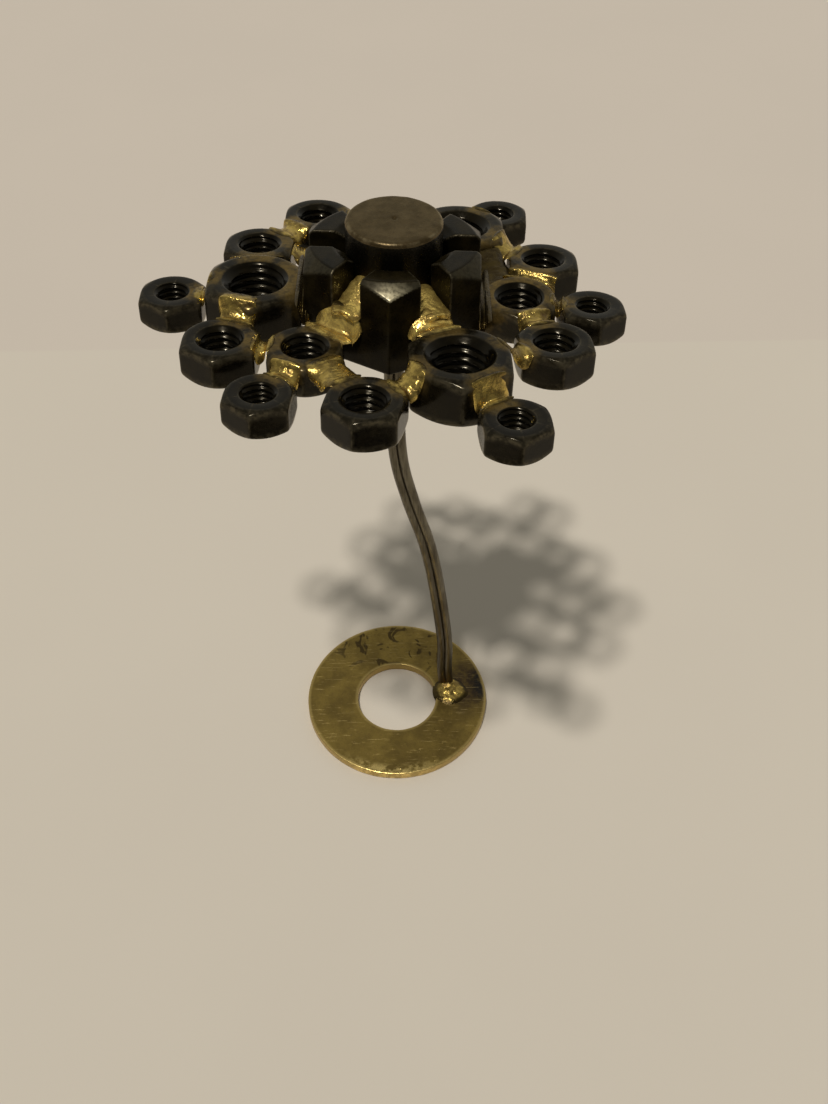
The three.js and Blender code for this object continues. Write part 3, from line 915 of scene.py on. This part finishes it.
class Paint:
    """A node material, built up a node at a time."""

    def __init__(self, name):
        self.material = bpy.data.materials.new(name)
        self.material.use_nodes = True
        self.tree = self.material.node_tree
        self.shader = self.tree.nodes["Principled BSDF"]
        self.where = self.tree.nodes.new("ShaderNodeTexCoord").outputs["Object"]

    def node(self, kind, **settings):
        made = self.tree.nodes.new("ShaderNode" + kind)
        for key, value in settings.items():
            setattr(made, key, value)
        return made

    def link(self, source, target):
        self.tree.links.new(source, target)

    def stretched(self, scale, turn=(0, 0, 0)):
        mapping = self.node("Mapping")
        mapping.inputs["Scale"].default_value = scale
        mapping.inputs["Rotation"].default_value = turn
        self.link(self.where, mapping.inputs["Vector"])
        return mapping.outputs["Vector"]

    def noise(self, size, detail=4.0, roughness=0.55, distortion=0.0, where=None):
        """Noise whose grains are about size millimetres across."""
        made = self.node("TexNoise")
        made.inputs["Scale"].default_value = 1 / (size * MM)
        made.inputs["Detail"].default_value = detail
        made.inputs["Roughness"].default_value = roughness
        made.inputs["Distortion"].default_value = distortion
        self.link(self.where if where is None else where, made.inputs["Vector"])
        return made.outputs["Fac"]

    def span(self, source, low, high, to_low=0.0, to_high=1.0):
        made = self.node("MapRange", interpolation_type="SMOOTHSTEP")
        for key, value in zip(("From Min", "From Max", "To Min", "To Max"),
                              (low, high, to_low, to_high)):
            made.inputs[key].default_value = value
        self.link(source, made.inputs["Value"])
        return made.outputs["Result"]

    def math(self, operation, first, second):
        made = self.node("Math", operation=operation)
        for socket, value in zip(made.inputs, (first, second)):
            if isinstance(value, (int, float)):
                socket.default_value = value
            else:
                self.link(value, socket)
        return made.outputs["Value"]

    def times(self, first, second):
        return self.math("MULTIPLY", first, second)

    def mix(self, share, first, second):
        made = self.node("Mix", data_type="RGBA")
        factor, a, b = made.inputs["Factor"], made.inputs[6], made.inputs[7]
        for socket, value in ((factor, share), (a, first), (b, second)):
            if isinstance(value, tuple):
                socket.default_value = (*value, 1)
            elif isinstance(value, (int, float)):
                socket.default_value = value
            else:
                self.link(value, socket)
        return made.outputs[2]

    def attribute(self, name):
        made = self.node("Attribute", attribute_name=name)
        return made.outputs["Fac"]

    def bump(self, height, distance, strength):
        made = self.node("Bump")
        made.inputs["Strength"].default_value = strength
        made.inputs["Distance"].default_value = distance * MM
        self.link(height, made.inputs["Height"])
        self.link(made.outputs["Normal"], self.shader.inputs["Normal"])

    def set(self, **values):
        names = {"colour": "Base Color", "rough": "Roughness", "metal": "Metallic", "ior": "IOR"}
        for key, value in values.items():
            socket = self.shader.inputs[names[key]]
            if isinstance(value, tuple):
                socket.default_value = (*value, 1)
            elif isinstance(value, (int, float)):
                socket.default_value = value
            else:
                self.link(value, socket)
        return self.material


def black_steel(name, dark, light, smooth, satin, shine, ior):
    """Blackened steel, glossy, browner in patches, worn on its edges, filmed near braze."""
    paint = Paint(name)
    mottled = paint.noise(3.2, 5, 0.6)
    grain = paint.noise(0.45, 3, 0.6)
    colour = paint.mix(paint.span(mottled, 0.35, 0.7), dark, light)
    broken = paint.span(paint.noise(0.9, 4, 0.65), 0.40, 0.62, 0.25, 1.0)
    worn = paint.times(paint.attribute("wear"), broken)
    worn = paint.times(worn, 0.46)
    colour = paint.mix(worn, colour, (0.16, 0.135, 0.085))
    ragged = paint.span(paint.noise(1.3, 4, 0.65), 0.30, 0.70, 0.45, 1.25)
    near = paint.times(paint.attribute("film"), ragged)
    film = paint.times(paint.span(near, 0.10, 1.10), paint.attribute("outside"))
    film = paint.times(film, 0.75)
    colour = paint.mix(film, colour, (0.20, 0.135, 0.042))
    metal = paint.math("MAXIMUM", worn, paint.times(film, 0.8))
    # Brushed metal on the slotted nut's chamfer, mostly a painted highlight on its front.
    brushed_and_painted_highlight = paint.times(paint.attribute("brushed_and_painted_highlight"),
                         paint.span(paint.noise(0.5, 4, 0.6), 0.3, 0.6, 0.45, 1.0))
    colour = paint.mix(brushed_and_painted_highlight, colour, (0.74, 0.66, 0.43))
    metal = paint.math("MAXIMUM", metal, brushed_and_painted_highlight)
    rough = paint.span(grain, 0.3, 0.7, smooth, satin)
    rough = paint.math("ADD", rough, paint.times(film, 0.10))
    paint.bump(paint.math("ADD", grain, paint.times(mottled, 2.0)), 0.012, 0.5)
    paint.shader.inputs["Specular Tint"].default_value = (1.0, 0.89, 0.66, 1)
    paint.shader.inputs["Coat Weight"].default_value = shine
    paint.shader.inputs["Coat Roughness"].default_value = 0.09
    paint.shader.inputs["Coat Tint"].default_value = (1.0, 0.90, 0.70, 1)
    return paint.set(colour=colour, rough=rough, metal=metal, ior=ior)


def plug_steel():
    """Dark brown steel on top, near black down the sides, worn at the rim."""
    paint = Paint("plug_steel")
    blotch = paint.noise(2.6, 5, 0.62)
    fine = paint.noise(0.35, 4, 0.6)
    colour = paint.mix(paint.span(blotch, 0.35, 0.68), (0.060, 0.041, 0.017), (0.108, 0.077, 0.036))
    colour = paint.mix(paint.span(fine, 0.52, 0.75, 0, 0.5), colour, (0.035, 0.027, 0.020))
    top = paint.attribute("top")
    colour = paint.mix(top, (0.0014, 0.0012, 0.0008), colour)
    film = paint.times(paint.attribute("film"), 0.5)
    colour = paint.mix(film, colour, (0.12, 0.07, 0.025))
    rim = paint.times(paint.attribute("wear"), paint.span(blotch, 0.42, 0.62))
    colour = paint.mix(rim, colour, (0.26, 0.21, 0.12))
    metal = paint.math("MAXIMUM", paint.times(top, 0.6), film)
    rough = paint.span(fine, 0.3, 0.7, 0.26, 0.38)
    paint.shader.inputs["Specular Tint"].default_value = (1.0, 0.90, 0.68, 1)
    paint.bump(paint.math("ADD", fine, paint.times(blotch, 1.5)), 0.03, 0.7)
    return paint.set(colour=colour, rough=rough, metal=metal, ior=1.35)


def braze_metal(name, bright, tarnished, metal):
    """Bright poured braze with brown flux stains and fine flow ripples."""
    paint = Paint(name)
    stain = paint.noise(1.5, 5, 0.62, 0.4)
    speck = paint.noise(0.35, 4, 0.65)
    colour = paint.mix(paint.span(stain, 0.36, 0.62), bright, tarnished)
    colour = paint.mix(paint.span(stain, 0.60, 0.74, 0, 0.8), colour, (0.12, 0.065, 0.03))
    colour = paint.mix(paint.span(speck, 0.56, 0.74, 0, 0.35), colour, (0.18, 0.12, 0.04))
    # Near black at the ends, and on the listed darker pieces, where it is partly painted shade.
    fade = paint.math("ADD", paint.attribute("fade"),
                      paint.math("SUBTRACT", paint.noise(0.9, 4, 0.6), 0.5))
    colour = paint.mix(paint.span(fade, 0.20, 0.95, 0, 0.92), colour, (0.036, 0.024, 0.009))
    rough = paint.span(stain, 0.35, 0.65, 0.15, 0.29)
    flow = paint.noise(0.55, 3, 0.55, 1.2)
    paint.bump(paint.math("ADD", flow, paint.times(speck, 0.15)), 0.10, 0.8)
    return paint.set(colour=colour, rough=rough, metal=metal)


def washer_brass():
    """Old brass, stained, scratched, burnt brown near the stem and bright at its rims, with a painted
    highlight along the front of its outer rim.
    """
    paint = Paint("washer_brass")
    cloud = paint.noise(4.5, 5, 0.6)
    speck = paint.noise(0.5, 5, 0.65)
    colour = paint.mix(paint.span(cloud, 0.35, 0.68), (0.285, 0.200, 0.050), (0.180, 0.124, 0.033))
    colour = paint.mix(paint.span(speck, 0.50, 0.72, 0, 0.5), colour, (0.13, 0.085, 0.03))
    stains = paint.span(paint.noise(4.2, 2, 0.5, 1.6), 0.56, 0.62, 0, 0.85)
    stains = paint.times(stains, paint.attribute("stain"))
    colour = paint.mix(stains, colour, (0.055, 0.036, 0.014))
    burn = paint.times(paint.attribute("burn"),
                      paint.span(paint.noise(1.7, 5, 0.7), 0.28, 0.60, 0.35, 1.0))
    colour = paint.mix(burn, colour, (0.060, 0.034, 0.013))
    soot = paint.times(paint.attribute("soot"),
                      paint.span(paint.noise(1.1, 4, 0.7), 0.35, 0.55, 0.3, 1.0))
    colour = paint.mix(soot, colour, (0.012, 0.010, 0.008))
    scratch_a = paint.noise(0.5, 3, 0.6, where=paint.stretched((0.12, 2.2, 1), (0, 0, 0.9)))
    scratch_b = paint.noise(0.5, 3, 0.6, where=paint.stretched((0.10, 2.4, 1), (0, 0, -0.5)))
    scratch_a = paint.span(scratch_a, 0.62, 0.72)
    scratch_b = paint.span(scratch_b, 0.64, 0.73)
    scratches = paint.math("MAXIMUM", scratch_a, scratch_b)
    colour = paint.mix(paint.times(scratches, 0.5), colour, (0.62, 0.47, 0.19))
    rims = paint.times(paint.attribute("wear"), 0.65)
    colour = paint.mix(rims, colour, (0.62, 0.46, 0.17))
    # Painted highlight along the front of the outer rim, stored as worn.
    ragged = paint.span(paint.noise(1.6, 5, 0.7), 0.42, 0.58)
    worn = paint.times(paint.attribute("worn"), ragged)
    colour = paint.mix(worn, colour, (0.80, 0.60, 0.22))
    rough = paint.span(speck, 0.3, 0.7, 0.30, 0.46)
    rough = paint.math("SUBTRACT", rough, paint.times(worn, 0.12))
    paint.bump(paint.math("SUBTRACT", speck, paint.times(scratches, 0.5)), 0.03, 0.7)
    dirt = paint.times(paint.math("MAXIMUM", burn, soot), 0.3)
    metal = paint.math("SUBTRACT", 0.9, dirt)
    return paint.set(colour=colour, rough=rough, metal=metal)


def wire_steel():
    """Drawn steel wire with long fine lines, heat-browned towards both ends."""
    paint = Paint("wire_steel")
    lines = paint.noise(0.22, 3, 0.6, where=paint.stretched((1, 1, 0.035)))
    patches = paint.noise(2.6, 4, 0.6, where=paint.stretched((1, 1, 0.35)))
    colour = paint.mix(paint.span(patches, 0.35, 0.66), (0.17, 0.150, 0.105), (0.085, 0.070, 0.045))
    colour = paint.mix(paint.span(lines, 0.46, 0.66, 0, 0.6), colour, (0.045, 0.038, 0.028))
    film = paint.attribute("film")
    colour = paint.mix(paint.times(film, 0.8), colour, (0.16, 0.10, 0.04))
    rough = paint.span(lines, 0.3, 0.7, 0.30, 0.46)
    paint.bump(lines, 0.03, 0.8)
    return paint.set(colour=colour, rough=rough, metal=0.9)


def floor_paint(line):
    """Pale paper, a shade greyer beyond a line behind the object."""
    paint = Paint("pale_floor")
    apart = paint.node("SeparateXYZ")
    paint.link(paint.where, apart.inputs["Vector"])
    askew = paint.times(apart.outputs["X"], -0.022)
    tilted = paint.math("ADD", apart.outputs["Y"], askew)
    beyond = paint.span(tilted, line - 0.0006, line + 0.0006)
    soft = paint.noise(60, 3, 0.5)
    near = paint.mix(paint.span(soft, 0.3, 0.7), (0.655, 0.594, 0.503), (0.665, 0.604, 0.511))
    far = paint.mix(paint.span(soft, 0.3, 0.7), (0.640, 0.572, 0.492), (0.650, 0.580, 0.498))
    colour = paint.mix(beyond, near, far)
    grain = paint.noise(0.4, 3, 0.6)
    paint.bump(grain, 0.02, 0.3)
    return paint.set(colour=colour, rough=0.85)


# ---- Stage ------------------------------------------------------------------------------

def flat_sheet(name, left, right, near, far, up):
    """A level rectangle that belongs to the stage."""
    corners = [(left, near, up), (right, near, up), (right, far, up), (left, far, up)]
    return piece(name, corners, [(0, 1, 2, 3)])


def studio_world():
    """Soft light that grows stronger towards +Y, behind a plain tone that the camera sees."""
    world = bpy.data.worlds.new("studio")
    bpy.context.scene.world = world
    world.use_nodes = True
    nodes, links = world.node_tree.nodes, world.node_tree.links
    shown = nodes.new("ShaderNodeBackground")
    shown.inputs["Color"].default_value = (0.93, 0.83, 0.71, 1)
    shown.inputs["Strength"].default_value = 0.63
    where = nodes.new("ShaderNodeTexCoord")
    apart = nodes.new("ShaderNodeSeparateXYZ")
    links.new(where.outputs["Generated"], apart.inputs["Vector"])
    back = nodes.new("ShaderNodeMapRange")
    back.interpolation_type = "SMOOTHSTEP"
    for socket, value in (("From Min", -0.2), ("From Max", 0.75), ("To Min", 0.14), ("To Max", 0.44)):
        back.inputs[socket].default_value = value
    links.new(apart.outputs["Y"], back.inputs["Value"])
    light = nodes["Background"]
    light.inputs["Color"].default_value = (0.965, 0.955, 0.87, 1)
    links.new(back.outputs["Result"], light.inputs["Strength"])
    path = nodes.new("ShaderNodeLightPath")
    choose = nodes.new("ShaderNodeMixShader")
    links.new(path.outputs["Is Camera Ray"], choose.inputs["Fac"])
    links.new(light.outputs["Background"], choose.inputs[1])
    links.new(shown.outputs["Background"], choose.inputs[2])
    links.new(choose.outputs["Shader"], nodes["World Output"].inputs["Surface"])


def key_lamp(name, side):
    """One of two suns a little apart, which together throw a soft shadow."""
    key = bpy.data.lights.new(name, "SUN")
    key.energy = KEY["energy"]
    key.angle = math.radians(KEY["angle"])
    key.color = (1.0, 0.96, 0.90)
    lamp = bpy.data.objects.new(name, key)
    towards = Vector(KEY["towards"]) + side * Vector((*KEY["apart"], 0))
    lamp.rotation_euler = towards.to_track_quat("Z", "Y").to_euler()
    bpy.context.scene.collection.objects.link(lamp)


def painted_shade_card():
    """A black card on the table in front, seen only in reflections, as a studio flag is: painted
    shade standing for the shadow on the floor in front of the object.
    """
    half = PAINTED_SHADE_CARD["half"]
    card = flat_sheet("painted_shade_card", -half, half, PAINTED_SHADE_CARD["near"], PAINTED_SHADE_CARD["far"], PAINTED_SHADE_CARD["up"])
    card.data.materials.append(Paint("painted_shade_card").set(colour=(0.02, 0.018, 0.015), rough=0.9))
    for ray in ("camera", "diffuse", "shadow", "transmission", "volume_scatter"):
        setattr(card, "visible_" + ray, False)


def add_camera():
    lens = bpy.data.cameras.new("camera")
    lens.sensor_width = CAMERA["sensor"]
    lens.lens = CAMERA["lens"]
    lens.clip_start = 0.01
    camera = bpy.data.objects.new("camera", lens)
    camera.location = (washer_centre() + Vector(CAMERA["place"])) * MM
    camera.rotation_euler = (math.radians(CAMERA["tilt"]), 0, 0)
    bpy.context.scene.collection.objects.link(camera)
    bpy.context.scene.camera = camera


# ---- Building ---------------------------------------------------------------------------

HEAD = base_place("slotted_nut")
PLACES = {node: nut_place(node) for node in NUT_SIZES}
GLOW = []  # spots of braze, with a reach, that leave a brass film on the metal nearby

nuts = [fine_nut(node) for node in NUT_SIZES]
castle = fine_castle("slotted_nut")
plug = fine_plug("centre_plug")
washer = fine_washer("base_washer")
wires = [fine_wire("stem_wire_left", -1), fine_wire("stem_wire_right", 1)]

brazes = [nut_joint(*joint, 10.0 + 3.7 * index) for index, joint in enumerate(JOINTS)]
# Painted light: the braze at the front, where the light falls, gets a lighter copy of the braze
# material.
painted_lit_pools = []  # the brightest braze, at the front
for index, joint in enumerate(HUB_JOINTS):
    group = painted_lit_pools if joint[0].startswith("ring_front") else brazes
    group.append(hub_joint(*joint, 90.0 + 3.1 * index))
painted_lit_pools += [slot_fill(*fill, 130.0 + 4.3 * index) for index, fill in enumerate(SLOT_FILLS)]
brazes += [nut_joint(*web) for web in LOW_WEBS]

foot_wires = [
    (STEM[0][0] + side * WIRE_ASIDE - FOOT["place"][0], STEM[0][1] - FOOT["place"][1])
    for side in (-1, 1)
]
brazes.append(wire_mound("braze_stem_foot", FOOT, foot_wires, False, 11.0))
neck_wires = [(-WIRE_ASIDE, 0.0), (WIRE_ASIDE, 0.0)]
brazes.append(wire_mound("braze_stem_top", NECK, neck_wires, True, 17.0))

for nut in nuts:
    add_film(nut, *NUT_FILM)
add_film(castle, *CASTLE_FILM)
store(castle, "outside", np.ones(len(castle.data.vertices)))
add_film(plug, *PLUG_FILM)

LOOKS = [
    (nuts, black_steel("black_steel", **NUT_STEEL)),
    ([castle], black_steel("black_steel_brown", **CASTLE_STEEL)),
    ([plug], plug_steel()),
    # A lighter copy of the braze for the pieces at the front: painted light.
    (painted_lit_pools, braze_metal("braze_pool_painted_lit", (1.0, 0.73, 0.20), (0.46, 0.31, 0.085), 0.76)),
    (brazes, braze_metal("braze_web", (0.72, 0.515, 0.135), (0.27, 0.185, 0.052), 0.90)),
    ([washer], washer_brass()),
    (wires, wire_steel()),
]
for things, material in LOOKS:
    for thing in things:
        thing.data.materials.clear()
        thing.data.materials.append(material)
        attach(thing, "root")

floor = flat_sheet("floor", -GROUND, GROUND, -GROUND, GROUND, 0)
floor.data.materials.append(floor_paint((washer_centre().y + FLOOR_LINE) * MM))
studio_world()
key_lamp("key_left", -1)
key_lamp("key_right", 1)
painted_shade_card()
add_camera()
bpy.context.scene.view_settings.view_transform = "Standard"
